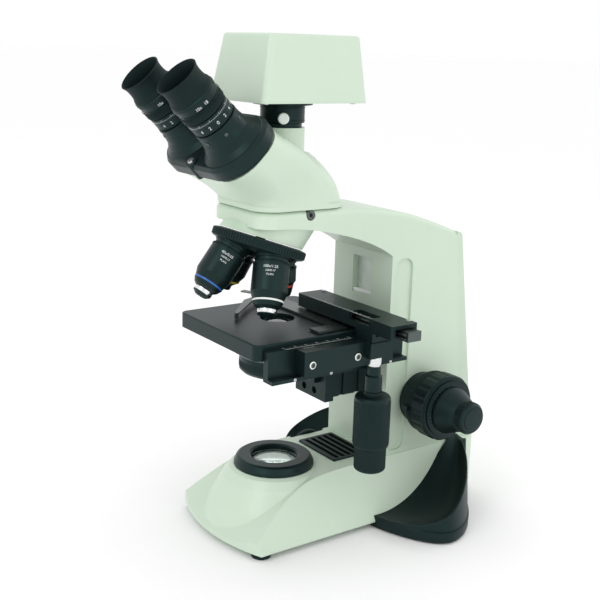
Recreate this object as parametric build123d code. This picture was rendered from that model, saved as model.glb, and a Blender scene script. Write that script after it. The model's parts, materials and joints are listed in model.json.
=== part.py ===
from build123d import *
from math import cos, pi, radians, sin
import os

# A trinocular laboratory microscope with a digital camera on its camera port.
# Millimetres, +Z up, the user sits on the -Y side and +X is the user's right.
# Everything is drawn about the optical axis, then moved so that the origin is
# the middle of the footprint, at the height of the feet.

AXIS_Y = -36.55           # where the optical axis stands in the finished frame
CLEAR = 0.3               # air between parts that move past each other
FIT = 0.05                # radial clearance of a running fit

# Base
BASE_BOTTOM = 5.5
BASE_HALF = 60.3
BASE_FRONT = -63.0
BASE_CORNER = -50.0
BASE_REAR = 190.0
WAIST_Y = 100.0            # behind this the base narrows to the width of the column
BASE_TOP = 51.0
FLANK_TOP = 39.5

# Limb: column and arm
LIMB_HALF = 38.4
COLUMN_FRONT = 85.0
ARM_FRONT = -41.0
ARM_TOP = 266.6
RECESS_DEPTH = 2.2
SEAM_TOP = (155.5, 239.0)
SEAM_FOOT = (173.0, BASE_TOP)

# Focus drive
FOCUS_Y = 123.0
FOCUS_Z = 98.0
PINION_TEETH = 15
PINION_RADIUS = 6.0
COARSE_RADIUS = 28.0
SHAFT_RADIUS = 4.9
FINE_SHAFT_RADIUS = 3.0
TENSION_BORE = 8.0

# Stage
STAGE_TOP = 175.0
STAGE_BOTTOM = 163.0
STAGE_LEFT = -55.0
STAGE_RIGHT = 60.0
STAGE_FRONT = -58.5
STAGE_REAR = 56.0
APERTURE_RADIUS = 14.0
GUIDE_FRONT = 29.5
GUIDE_REAR = 54.5
GUIDE_TOP = 189.0
STEM_X = 79.0
STEM_Y = 37.0
HOLDER_FLOOR = 175.5      # underside of the slide holder, just off the stage

# Condenser
CONDENSER_RADIUS = 24.0
IRIS_RADIUS = 30.0

# Nosepiece: the objective axes meet at one point on the optical axis
NOSE_TILT = 19.0
NOSE_APEX = 292.0
SHOULDER = 71.0
RIM_RADIUS = 36.8

# Head
TUBE_TILT = 45.0
FLANGE_Y = -57.3
FLANGE_Z = 315.0
TUBE_OFFSET = 27.7
LOBE_RADIUS = 28.0
FLANGE_HALF = 5.5
PIVOT_DOWN = 24.0

# Camera
BOX_BOTTOM = 345.4
BOX_TOP = 394.4


def block(x0, x1, y0, y1, z0, z1):
    """A box given by its limits."""
    centre = Pos((x0 + x1) / 2, (y0 + y1) / 2, (z0 + z1) / 2)
    return centre * Box(x1 - x0, y1 - y0, z1 - z0)


def turned(*outline):
    """A solid of revolution about Z from (radius, height) points."""
    face = make_face(Polyline(*[(r, 0, z) for r, z in outline], close=True))
    return revolve(face, Axis.Z)


def disc(radius, z0, z1, x=0.0, y=0.0):
    """An upright cylinder between two heights."""
    return Pos(x, y, (z0 + z1) / 2) * Cylinder(radius, z1 - z0)


def ring(outer, inner, z0, z1, x=0.0, y=0.0):
    """An upright tube between two heights."""
    return disc(outer, z0, z1, x, y) - disc(inner, z0 - 1, z1 + 1, x, y)


def rounded_plate(x0, x1, y0, y1, z0, z1, radius):
    """A plate with rounded upright corners."""
    sketch = Pos((x0 + x1) / 2, (y0 + y1) / 2, z0) * RectangleRounded(x1 - x0, y1 - y0, radius)
    return extrude(sketch, z1 - z0)


def side_profile(points, half):
    """A closed outline in the YZ plane, extruded both ways along X."""
    face = make_face(Polyline(*[(0, y, z) for y, z in points], close=True))
    return extrude(face, half, dir=(1, 0, 0), both=True)


def facing(origin, direction):
    """A location whose Z runs along the direction and whose X stays level."""
    across = (1, 0, 0) if abs(direction[0]) < 0.99 else (0, 1, 0)
    return Plane(origin=origin, x_dir=across, z_dir=direction).location


def nose_direction(turn, lean):
    """Direction at an angle to the nosepiece axis; turn 0 is the rear seat."""
    side = sin(radians(lean)) * sin(radians(turn))
    radial = sin(radians(lean)) * cos(radians(turn))
    along = cos(radians(lean))
    tilt = radians(NOSE_TILT)
    return (side, radial * cos(tilt) - along * sin(tilt), -radial * sin(tilt) - along * cos(tilt))


NOSE_AXIS = nose_direction(0, 0)
NOSE = facing((0, 0, NOSE_APEX), NOSE_AXIS)
TUBE_AXIS = (0, -sin(radians(TUBE_TILT)), cos(radians(TUBE_TILT)))
FLANGE = facing((0, FLANGE_Y, FLANGE_Z), TUBE_AXIS)
SEATS = {"objective_4x": 0, "objective_100x": 90, "objective_40x": 180, "objective_10x": 270}


def along_x(x=0.0, y=FOCUS_Y, z=FOCUS_Z):
    """A location whose Z runs along +X, by default on the focus axis."""
    return facing((x, y, z), (1, 0, 0))


# ---------------------------------------------------------------- base

def base_outer():
    """The outside of the base: a ramp with sloping flanks and a raised boss."""
    ramp = Spline((0, BASE_FRONT - 1, 8.5), (0, -50, 17), (0, -36, 27), (0, -19.5, 37.5), (0, 3, 47), (0, 23.5, 50),
                  (0, 60, BASE_TOP), tangents=((0, 1, 0.45), (0, 1, 0)))
    under = Polyline((0, 60, BASE_TOP), (0, BASE_REAR + 1, BASE_TOP), (0, BASE_REAR + 1, BASE_BOTTOM),
                     (0, BASE_FRONT - 1, BASE_BOTTOM), (0, BASE_FRONT - 1, 8.5))
    body = extrude(make_face(ramp + under), 70, dir=(1, 0, 0), both=True)
    body += turned((0, 0), (62, 6), (52, 26), (42, 43), (37, 49.2), (34, 50.8), (0, 50.8))
    flank = make_face(Polyline((-BASE_HALF, 0, BASE_BOTTOM), (-BASE_HALF, 0, 7), (-FLANK_TOP, 0, BASE_TOP + 0.5),
                               (FLANK_TOP, 0, BASE_TOP + 0.5), (BASE_HALF, 0, 7), (BASE_HALF, 0, BASE_BOTTOM),
                               close=True))
    body &= extrude(flank, 250, dir=(0, 1, 0), both=True)
    front = ThreePointArc((-BASE_HALF, BASE_CORNER), (0, BASE_FRONT), (BASE_HALF, BASE_CORNER))
    right = [(BASE_HALF, BASE_CORNER), (BASE_HALF, WAIST_Y), (42, 180), (38.5, BASE_REAR)]
    left = [(-x, y) for x, y in reversed(right)]
    sides = Polyline(*right, *left)
    return body & extrude(make_face(front + sides), 80)


def under_limb():
    """The flat seat under the column."""
    return block(-LIMB_HALF - 3, LIMB_HALF + 3, COLUMN_FRONT, BASE_REAR + 5, BASE_TOP, BASE_TOP + 5)


FEET = [(-49.0, -43.0), (49.0, -43.0), (-35.0, 172.0), (35.0, 172.0)]
INLET = (-34.0, -6.0, 14.0, 40.0)      # x and z limits of the power inlet
SWITCH = (8.0, 24.0, 16.0, 38.0)       # x and z limits of the rocker switch
SWITCH_PIN_Y = 180.0
WHEEL_X = -39.0
WHEEL_Y = 61.5
WHEEL_Z = 35.5
WHEEL_RADIUS = 18.0
GRILLE = (-26.0, 26.0, 43.0, 79.0)


def base_casting():
    body = base_outer() - under_limb()
    body -= block(-36, 36, -30, 22, 0, 31)
    body -= block(-33, 33, 21, 178, 0, 45)
    body -= block(-50, 50, -20, 98, 0, 16)
    body -= disc(21, 20, 60)
    body -= disc(30.5, 48.2, 70)
    x0, x1, y0, y1 = GRILLE
    body -= block(x0, x1, y0, y1, 40, 60)
    body -= block(WHEEL_X - 2.8, WHEEL_X + 2.8, WHEEL_Y - 18.6, WHEEL_Y + 18.6, 12, 60)
    body -= block(INLET[0], INLET[1], 170, BASE_REAR + 5, INLET[2], INLET[3])
    body -= block(SWITCH[0], SWITCH[1], 170, BASE_REAR + 5, SWITCH[2], SWITCH[3])
    return body


def bottom_plate():
    front = rounded_plate(-54, 54, -33, 104, 3.3, BASE_BOTTOM, 6)
    return front + rounded_plate(-40, 40, 90, 163, 3.3, BASE_BOTTOM, 6)


def rubber_feet():
    feet = []
    for x, y in FEET:
        feet.append(Pos(x, y, 0) * turned((0, 0), (7.4, 0), (8, 1), (8, BASE_BOTTOM), (0, BASE_BOTTOM)))
    return Compound(feet)


def side_pods():
    """A black wing on each side of the column foot: its outer wall rises towards the rear."""
    rim = ((57.5, 61.0), (75.0, 68.0), (97.0, 78.0), (110.0, 89.0), (115.0, 102.0),
           (111.0, 119.0), (98.0, 140.0), (76.0, 157.0), (56.0, 171.0))
    path = Spline(*[(x, y, 1.0) for x, y in rim])
    close = Polyline((56.0, 171.0, 1.0), (30.0, 171.0, 1.0), (30.0, 61.0, 1.0), (57.5, 61.0, 1.0))
    wing = extrude(make_face(path + close), 54.5)
    crest = Spline((0, 61, 11), (0, 78, 13.6), (0, 102, 27), (0, 119, 41), (0, 140, 52), (0, 160, 54.5))
    under = Polyline((0, 160, 54.5), (0, 175, 54.5), (0, 175, 0), (0, 55, 0), (0, 55, 11), (0, 61, 11))
    wing &= extrude(make_face(crest + under), 130, dir=(1, 0, 0))
    wing -= base_outer()
    wing -= block(0, BASE_HALF, 0, 200, 0, BASE_BOTTOM)
    wing -= block(0, LIMB_HALF, 50, 200, BASE_TOP - 1, 80)
    wing = wing.solids().sort_by(SortBy.VOLUME)[-1]
    return Compound([wing, mirror(wing, Plane.YZ)])


def vent_grille():
    x0, x1, y0, y1 = GRILLE
    frame = rounded_plate(x0 + FIT, x1 - FIT, y0 + FIT, y1 - FIT, 45, 52.3, 2)
    slats = 5
    pitch = (y1 - y0 - 4) / slats
    for i in range(slats):
        front = y0 + 3 + i * pitch
        frame -= block(x0 + 3, x1 - 3, front + 1.4, front + pitch - 1.4, 40, 60)
    return frame


def field_lens_collar():
    return turned((21.5, 48.2), (30.4, 48.2), (30.4, 50.8), (33, 50.8), (33, 53.4), (31, 57.4), (29, 58.7),
                  (21, 58.7), (19, 57.6), (19, 55), (21.5, 54.2))


def lens(radius, z0, z1, bulge):
    """A plano-convex lens whose edge stands this far below its crown."""
    sphere_radius = (radius * radius + bulge * bulge) / (2 * bulge)
    return disc(radius, z0, z1) & Pos(0, 0, z1 - sphere_radius) * Sphere(sphere_radius)


def field_lens():
    return lens(18.9, 50, 56.7, 3.2) + disc(21.4, 50, 53.4)


def lamp_optics():
    """The collector lens, and the wedge mirror that turns its light upwards."""
    wedge = side_profile(((-15, 7.5), (14, 7.5), (14, 10), (-13, 37), (-15, 37)), 14)
    collector = turned((0, 0), (12, 0), (12, 3), (9, 5.2), (5, 6.6), (0, 7.2))
    return Compound([wedge, Pos(0, 34, 24) * Rot(90, 0, 0) * collector])


def lamp_holder():
    cradle = block(-15, 15, 28, 34, 7.5, 24)
    cradle += block(-15, 15, 28, 90, 5.5, 9)
    cradle -= Pos(0, 30, 24) * Rot(90, 0, 0) * Cylinder(12.0 + FIT, 20)
    cradle += block(-9, 9, 69, 82, 9, 32)
    cradle -= Pos(0, 73, 24) * Rot(90, 0, 0) * Cylinder(3.0, 10)
    return cradle


def lamp_bulb():
    bulb = turned((0, 0), (2.9, 0), (2.9, 8), (5.2, 11), (5.2, 19), (3, 22), (0, 23))
    return Pos(0, 75.9, 24) * Rot(90, 0, 0) * bulb


def power_inlet():
    x0, x1, z0, z1 = INLET
    shell = block(x0, x1, 170, 190, z0, z1)
    shell -= block(x0 + 3, x1 - 3, 174, 192, z0 + 4, z1 - 4)
    middle = (x0 + x1) / 2
    for dx, dz in ((-6, -1), (6, -1), (0, 4)):
        shell += block(middle + dx - 1, middle + dx + 1, 173, 186, 26 + dz, 30 + dz)
    return shell


def power_switch():
    """A rocker that tips about a pin along X."""
    x0, x1, z0, z1 = SWITCH
    middle = (z0 + z1) / 2
    outline = ((174, middle - 3), (180, middle - 9), (186, middle - 10), (189.4, middle - 9.6),
               (187.6, middle), (189.4, middle + 9.6), (186, middle + 10), (180, middle + 9), (174, middle + 3))
    rocker = Pos((x0 + x1) / 2, 0, 0) * side_profile(outline, (x1 - x0) / 2 - CLEAR)
    pin = along_x((x0 + x1) / 2, SWITCH_PIN_Y, middle) * Cylinder(1.5, x1 - x0 - 2 * FIT)
    return rocker + pin


def intensity_wheel():
    wheel = turned((2, -2.2), (17.2, -2.2), (WHEEL_RADIUS, -1.6), (WHEEL_RADIUS, 1.6), (17.2, 2.2), (2, 2.2))
    wheel += disc(3, -2.5, 2.5)
    return along_x(WHEEL_X, WHEEL_Y, WHEEL_Z) * wheel


# ---------------------------------------------------------------- limb

def limb_blank():
    """The whole outside of the column and arm, ahead of the rear cover."""
    underside = Spline((0, COLUMN_FRONT, 224), (0, 66, 234.5), (0, 40, 243.6), (0, 10, 250.6), (0, ARM_FRONT, 254.4))
    front = Polyline((0, ARM_FRONT, 254.4), (0, ARM_FRONT, ARM_TOP), (0, 22, ARM_TOP))
    crown = Spline((0, 22, ARM_TOP), (0, 64, 264), (0, 101, 257.5), (0, 134, 247), (0, *SEAM_TOP),
                   tangents=((0, 1, 0), (0, 0.93, -0.36)))
    back = Polyline((0, *SEAM_TOP), (0, *SEAM_FOOT), (0, COLUMN_FRONT, BASE_TOP), (0, COLUMN_FRONT, 224))
    return extrude(make_face(underside + front + crown + back), LIMB_HALF, dir=(1, 0, 0), both=True)


def plan_block(z0, z1):
    """The rounded plan of the arm, so that its nose has round corners."""
    return rounded_plate(-LIMB_HALF, LIMB_HALF, ARM_FRONT, 240, z0, z1, 15)


def limb_casting():
    limb = limb_blank() & plan_block(40, 280)
    top_edges = limb.edges().filter_by(lambda e: e.center().Z > 240 and abs(e.center().X) > LIMB_HALF - 0.5
                                       and e.center().Y > 22)
    limb = fillet([e for e in top_edges if e.center().Z > 246], 5.0)
    for side in (-1, 1):
        x = side * LIMB_HALF
        recess = rounded_block_x(89, 107.5, 54, 221, 8)
        limb -= Pos(x, 0, 0) * recess
    limb -= block(-12.5, 12.5, COLUMN_FRONT - 1, 92, 185, 217)
    limb -= block(-32, 32, 96, 200, 40, 226)
    limb -= block(-10, 10, 80, 100, 107, 163)
    limb -= disc(13, 240, 280)
    limb -= disc(26.3, 262.2, 280)
    limb -= along_x() * Cylinder(12, 120)
    limb -= head_lock_pocket()
    return limb


def rounded_block_x(y0, y1, z0, z1, radius):
    """A shallow panel with rounded corners, centred on X = 0, for side recesses."""
    sketch = Plane.YZ * Pos((y0 + y1) / 2, (z0 + z1) / 2) * RectangleRounded(y1 - y0, z1 - z0, radius)
    return extrude(sketch, RECESS_DEPTH, both=True)


def rear_cover():
    outer = Polyline((0, *SEAM_TOP), (0, 158.3, 238.0))
    corner = ThreePointArc((0, 158.3, 238.0), (0, 160.6, 236.3), (0, 161.4, 233.6))
    back = Polyline((0, 161.4, 233.6), (0, 181, 100), (0, 188.5, BASE_TOP), (0, *SEAM_FOOT), (0, *SEAM_TOP))
    cover = extrude(make_face(outer + corner + back), LIMB_HALF, dir=(1, 0, 0), both=True)
    for z in (90, 100, 110, 120, 130):
        cover -= block(-18, 18, 168, 200, z + 60, z + 64)
    return cover


def focus_bushings():
    bushes = []
    for side in (-1, 1):
        bush = turned((SHAFT_RADIUS + FIT, 26), (12, 26), (12, LIMB_HALF), (22, LIMB_HALF), (22, 47), (20, 49.6),
                      (SHAFT_RADIUS + FIT, 49.6))
        bushes.append(along_x() * (bush if side > 0 else mirror(bush, Plane.XY)))
    return Compound(bushes)


def tension_ring():
    body = turned((TENSION_BORE, 50), (24, 50), (26.5, 51.2), (26.5, 56.6), (25.5, 57.6), (TENSION_BORE, 57.6))
    tab = Pos(0, 0, 54) * Box(4, 4, 6)
    return along_x() * (body + Pos(-28.4, 0, 0) * tab)


def focus_guide():
    bars = []
    for side in (-1, 1):
        x0, x1 = sorted((side * (14 + FIT), side * 20))
        bars.append(block(x0, x1, 96, 114.6, 62, 172))
    return Compound(bars)


# ---------------------------------------------------------------- focus drive

def pinion():
    tooth_angle = 2 * pi / PINION_TEETH
    points = []
    for i in range(PINION_TEETH):
        for offset, radius in ((-0.30, 5.05), (-0.11, 6.6), (0.11, 6.6), (0.30, 5.05)):
            angle = (i + 0.5 + offset) * tooth_angle + pi
            points.append((radius * cos(angle), radius * sin(angle)))
    return extrude(make_face(Polyline(*points, close=True)), 7, both=True)


def coarse_shaft():
    shaft = ring(SHAFT_RADIUS, FINE_SHAFT_RADIUS + FIT, -66, 66)
    gear = pinion() - disc(FINE_SHAFT_RADIUS + FIT, -10, 10)
    return along_x() * (shaft + gear)


def flutes(radius, count, width, z0, z1):
    """Shallow grip grooves round a knob."""
    cuts = []
    for i in range(count):
        angle = 2 * pi * i / count
        cuts.append(disc(width, z0, z1, radius * cos(angle), radius * sin(angle)))
    return cuts


def coarse_knobs():
    knob = turned((SHAFT_RADIUS + FIT, 58), (26.6, 58), (COARSE_RADIUS, 59.4), (COARSE_RADIUS, 71.6),
                  (26.8, 73), (24, 73), (24, 75.2), (20, 76), (11, 76), (11, 66.2), (SHAFT_RADIUS + FIT, 66.2))
    for cut in flutes(COARSE_RADIUS + 5.2, 16, 5.8, 57, 73.5):
        knob -= cut
    knob = along_x() * knob
    return Compound([knob, mirror(knob, Plane.YZ)])


def fine_knobs():
    """A conical knob at each end of the shaft that runs through the coarse shaft."""
    knob = turned((0, 76.4), (19, 76.4), (20, 77.4), (19.6, 79), (14.4, 91), (13, 93.6), (12.9, 101.2),
                  (11.6, 103), (0, 103))
    knob = along_x() * knob
    return knob + mirror(knob, Plane.YZ) + along_x() * Cylinder(FINE_SHAFT_RADIUS, 160)


def focus_slide():
    body = block(-14, 14, 97.4, 116, 90, 160)
    body += block(-9.5, 9.5, 84.2, 98, 130, 160)
    pitch = 2 * pi * PINION_RADIUS / PINION_TEETH
    teeth = []
    for i in range(-3, 24):
        z = FOCUS_Z + i * pitch
        outline = ((115.5, z - 0.62), (117.55, z - 0.22), (117.55, z + 0.22), (115.5, z + 0.62))
        teeth.append(side_profile(outline, 6))
    for tooth in teeth:
        body += tooth
    return body


# ---------------------------------------------------------------- stage

def stage_plate():
    plate = rounded_plate(STAGE_LEFT, STAGE_RIGHT, STAGE_FRONT, STAGE_REAR, STAGE_BOTTOM, STAGE_TOP, 6)
    plate = fillet(plate.edges().group_by(Axis.Z)[-1], 1.2)
    plate -= disc(APERTURE_RADIUS, 150, 200)
    plate -= disc(20, 150, 171)
    return plate


def stage_rail():
    rail = block(STAGE_RIGHT, 66, -52, 76, 147.5, 171)
    rail += block(66, 72, -52, 76, 147.5, 150.4)
    rail -= Pos(69, 12, 150.4) * Rot(90, 0, 0) * Cylinder(0.8, 140)
    return rail


def stage_bracket():
    arm = block(-20, 20, 43.5, 84.2, 106, 163)
    fork = block(-32, 56, 36, 62, 155, STAGE_BOTTOM)
    front = block(-21, 21, 35, 43.5, 103, 163)
    bracket = arm + fork + front
    for side in (-1, 1):
        for y in (50, 66):
            bracket -= block(side * 20 - 1.2, side * 20 + 1.2, y, y + 4, 100, 150)
    for x, z in BRACKET_SCREWS:
        bracket -= Pos(x, 39, z) * Rot(90, 0, 0) * Cylinder(3.05, 10)
    bracket -= Pos(-20, 40, 128) * Rot(0, 90, 0) * Cylinder(2.5 + FIT, 60)
    return bracket


BRACKET_SCREWS = [(-8.6, 109.5), (5.5, 109.5)]


def bracket_screws():
    screws = []
    for x, z in BRACKET_SCREWS:
        screw = turned((0, 0), (2, 0), (2, 2), (3, 2), (3, 6.4), (0, 6.4))
        screw -= extrude(Pos(0, 0, 4.2) * RegularPolygon(1.5, 6), 4)
        screws.append(Pos(x, 44, z) * Rot(90, 0, 0) * screw)
    return Compound(screws)


def y_carriage():
    body = block(66 + FIT, 78, -28, 56, 152, 170.6)
    body += block(78, 85, 28, 46, 158.5, 170.6)
    body += block(64, 84, GUIDE_FRONT, GUIDE_REAR, 171.2, STAGE_TOP + 0.4)
    body += block(66 + FIT, 84, GUIDE_FRONT, 46, 170, 172)
    stem = turned((0, 131), (6.6, 131), (6.6, 143), (5.2, 144), (5.2, 151), (3.7, 151), (3.7, 159), (0, 159))
    body += Pos(STEM_X, STEM_Y, 0) * stem
    return body - disc(1.5 + FIT, 100, 200, STEM_X, STEM_Y)


def x_guide():
    guide = block(-14, 106, GUIDE_FRONT, GUIDE_REAR, STAGE_TOP + 0.4, GUIDE_TOP)
    guide = fillet(guide.edges().filter_by(Axis.Z), 1.5)
    guide -= block(-20, 110, 33, 51, STAGE_TOP, 186)
    guide -= block(-20, 110, 20, 34, STAGE_TOP, 178.4)
    guide -= block(54, 80, 25, 41, 183, 195)
    guide += block(64, 84, GUIDE_FRONT, 33, STAGE_TOP + 0.4, 178.4)
    return guide


def holder_bar():
    """The toothed bar and its two ground rods, which carry the slide holder."""
    bar = block(-12, 114.6, 38, 50.6, 178, 185.4)
    for x in range(0, 112, 2):
        bar -= block(x, x + 0.9, 49.6, 51, 177, 186)
    for z in (180.2, 183.2):
        bar += Pos(50, 37.4, z) * Rot(0, 90, 0) * Cylinder(1.1, 126)
    return bar


def slide_holder():
    plate = holder_bar()
    plate += block(-56, 56, 18.5, 27.5, HOLDER_FLOOR, 177.2)
    plate += block(-56, 33, 27, 36, HOLDER_FLOOR, 177.2)
    plate += block(44, 56, 0, 20, HOLDER_FLOOR, 177.2)
    plate += block(-11, 33, 34, 50, HOLDER_FLOOR, 178.2)
    plate += disc(3.2, 177.0, 179.2, *FINGER_PIVOT)
    return plate - disc(1.5 + FIT, 170, 190, *FINGER_PIVOT)


FINGER_PIVOT = (-50.0, 22.5)


def holder_finger():
    """The sprung finger that presses the glass slide against the jaw."""
    px, py = FINGER_PIVOT
    blade = make_face(Polyline((px - 4, py - 3, 0), (px + 4, py - 1, 0), (-38, 0, 0), (-10, -30, 0), (-9, -33, 0),
                               (-13, -32, 0), (-44, -4, 0), close=True))
    tail = make_face(Polyline((px + 2, py + 3, 0), (px - 3, py - 3, 0), (-72, 10, 0), (-74, 15, 0), close=True))
    finger = extrude(Pos(0, 0, 179.2) * blade, 1.2)
    finger += extrude(Pos(0, 0, 179.2) * tail, 1.2)
    finger += disc(4.4, 179.2, 180.8, px, py)
    finger += disc(1.5, 175.6, 180.0, px, py)
    finger += Pos(-10.8, -31.6, 0) * block(-1.2, 1.2, -1.2, 1.2, 175.4, 179.4)
    return finger


def stage_y_knob():
    knob = turned((1.5 + FIT, 86), (13.6, 86), (14, 87), (14, 125.6), (13, 127), (7.2, 127.4), (7, 130.6),
                  (1.5 + FIT, 130.6))
    return Pos(STEM_X, STEM_Y, 0) * knob


def stage_x_knob():
    knob = turned((0, 66.5), (11.4, 66.5), (12.2, 67.3), (12.2, 84.4), (11.6, 85.6), (1.5, 85.6), (1.5, 172), (0, 172))
    return Pos(STEM_X, STEM_Y, 0) * knob


# ---------------------------------------------------------------- condenser

def condenser_carrier():
    hoop = ring(31, CONDENSER_RADIUS + FIT, 151.5, 158)
    back = block(-12, 12, 30, 34.7, 118, 158)
    hoop += back - disc(CONDENSER_RADIUS + FIT, 100, 200) - disc(IRIS_RADIUS + 0.6, 100, 151.4)
    return hoop - block(-40, 40, 34.7, 50, 100, 170)


def condenser_body():
    return turned((9, 130), (CONDENSER_RADIUS, 130), (CONDENSER_RADIUS, 158), (27, 158), (27, 161), (14, 161.6),
                  (12.5, 163), (12.5, 172), (10, 172), (10, 166), (9, 164))


def condenser_lens():
    return lens(9.95, 166, 173.1, 1.8)


def iris_ring():
    body = turned((CONDENSER_RADIUS + FIT, 131.5), (27.5, 131.5), (IRIS_RADIUS, 134), (IRIS_RADIUS, 149.5),
                  (29, 150.6), (CONDENSER_RADIUS + FIT, 150.6))
    lever = Rot(0, 0, 200) * Pos(34, 0, 139) * Rot(0, 90, 0) * Cylinder(1.6, 12)
    return body + lever


def condenser_knob():
    shaft = Pos(-20, 40, 128) * Rot(0, 90, 0) * Cylinder(2.5, 58)
    grip = turned((0, 0), (11, 0), (12, 1), (12, 11), (11, 12), (0, 12))
    return shaft + Pos(-49, 40, 128) * Rot(0, 90, 0) * grip


# ---------------------------------------------------------------- nosepiece

def nosepiece_mount():
    low = NOSE * Pos(0, 0, 53.4) * Circle(33.5)
    high = Pos(0, -4.2, 258) * Circle(36.6)
    cone = loft([low, high])
    cone -= limb_blank()
    cone -= disc(13, 200, 300)
    cone -= NOSE * disc(4 + FIT, 40, 60)
    return cone.solids().sort_by(SortBy.VOLUME)[-1]


def nosepiece_disc():
    body = turned((0, 50), (4, 50), (4, 53.9), (32, 53.9), (RIM_RADIUS, 54.8), (RIM_RADIUS, 61.4), (35.6, 62.0),
                  (27, 65), (7, 65), (7, 69), (6, 70), (0, 70))
    body = NOSE * body
    for turn in SEATS.values():
        seat = facing((0, 0, NOSE_APEX), nose_direction(turn, NOSE_TILT))
        body += seat * disc(14.2, 64, SHOULDER)
    for turn in SEATS.values():
        seat = facing((0, 0, NOSE_APEX), nose_direction(turn, NOSE_TILT))
        body -= seat * disc(10.15, 40, 80)
    for turn in range(45, 360, 90):
        angle = radians(turn)
        body -= NOSE * Pos(35 * cos(angle), 35 * sin(angle), 53.4) * Sphere(1.5)
    return body


OBJECTIVES = {
    "objective_4x": ((13, 0), (13, 2.6), (12.4, 3), (14, 3.4), (14, 15), (12, 18), (11.6, 18), (11.6, 19.3),
                     (12, 19.3), (11, 24), (10, 27), (7, 27), (7, 24)),
    "objective_10x": ((13, 0), (13, 2.6), (12.4, 3), (14, 3.4), (14, 19), (12, 24), (11.4, 24), (11.4, 25.3),
                      (12, 25.3), (8, 30), (8, 33.6), (5, 34.4), (4, 34.4), (4, 32)),
    "objective_40x": ((13, 0), (13, 2.6), (12.4, 3), (14, 3.4), (14, 26), (11.8, 32), (11.2, 32), (11.2, 33.3),
                      (11.8, 33.3), (10, 36.5), (7.4, 38.5), (7.4, 42), (4.5, 44.2), (2.6, 44.2), (2.6, 43)),
    "objective_100x": ((13, 0), (13, 2.6), (12.4, 3), (14, 3.4), (14, 26), (11.8, 32), (11.2, 32), (11.2, 33.3),
                       (11.8, 33.3), (10, 36.5), (7.4, 38.5), (7.4, 42.6), (4, 44.6), (2.2, 44.6), (2.2, 43.4)),
}
THREAD_RADIUS = 10.1


def objective(name):
    """A barrel that screws into its seat, hollow along the light path."""
    outline = OBJECTIVES[name]
    tip = outline[-1]
    bore = ((tip[0], tip[1]), (tip[0], tip[1] - 3), (6.5, 10), (6.5, -6))
    if tip[0] > 6.5:
        bore = ((tip[0], tip[1]), (tip[0], -6))
    body = turned((THREAD_RADIUS, -6), (THREAD_RADIUS, 0), *outline, *bore[1:])
    return objective_seat(name) * body


def objective_seat(name):
    direction = nose_direction(SEATS[name], NOSE_TILT)
    return facing((0, 0, NOSE_APEX), direction) * Pos(0, 0, SHOULDER)


# ---------------------------------------------------------------- head

def head_base(z0, z1):
    return rounded_plate(-LIMB_HALF, LIMB_HALF, ARM_FRONT, 39, z0, z1, 17)


def head_body():
    """The white prism housing: it rises from the arm and bends over to the tube flange."""
    foot = Pos(0, -1, 269.4) * RectangleRounded(2 * LIMB_HALF - 2, 78, 16)
    waist = Pos(0, -1.5, 284) * RectangleRounded(2 * LIMB_HALF - 5, 72, 17)
    back = Pos(0, -1, 297) * RectangleRounded(2 * LIMB_HALF - 17, 56, 17)
    shelf = Pos(0, 0, 307) * RectangleRounded(40, 38, 15)
    chimney = loft([foot, waist, back, shelf]) + disc(17.3, 300, 326)
    root = Pos(0, -4, 268.8) * RectangleRounded(2 * LIMB_HALF, 74, 17)
    bend = Pos(0, -12, 284) * Rot(20, 0, 0) * RectangleRounded(80, 64, 18)
    throat = Pos(0, -28, 297) * Rot(35, 0, 0) * RectangleRounded(92, 56, 20)
    shoulder = FLANGE * Pos(0, 0, -FLANGE_HALF - 2.2) * RectangleRounded(107.4, 52, 22)
    body = loft([root, bend, throat, shoulder]) + head_base(267.2, 271) + chimney
    body -= block(-19.2, 19.2, -19.2, 19.2, 260, 304)
    body -= disc(12, 290, 330)
    body += turned((15, 262.5), (24.5, 262.5), (26, 266), (26, 270), (15, 270))
    return body - FLANGE * disc(15, -26, 0)


def head_lock_pocket():
    """The half-round notch in the arm's right side that holds the lock screw."""
    return along_x(LIMB_HALF, 2.3, 263.2) * Cylinder(4.2, 10)


def head_lock_screw():
    screw = turned((0, 33.6), (3.9, 33.6), (3.9, 37.4), (3.4, 38.2), (0, 38.2))
    screw -= extrude(Pos(0, 0, 36) * RegularPolygon(1.6, 6), 4)
    return along_x(0, 2.3, 263.2) * screw


def beam_prism():
    return block(-15, 15, -15, 15, 274, 302)


def flange_plate():
    """The fixed black plate that closes the head under both tube carriers."""
    plate = FLANGE * extrude(Pos(0, 0, -FLANGE_HALF - 2.1) * SlotOverall(2 * (TUBE_OFFSET + LOBE_RADIUS) - 5,
                                                                         2 * LOBE_RADIUS - 5), 1.9)
    plate += FLANGE * disc(5.0, -FLANGE_HALF - 2.1, FLANGE_HALF + 0.8, 0, -PIVOT_DOWN)
    return plate


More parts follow.
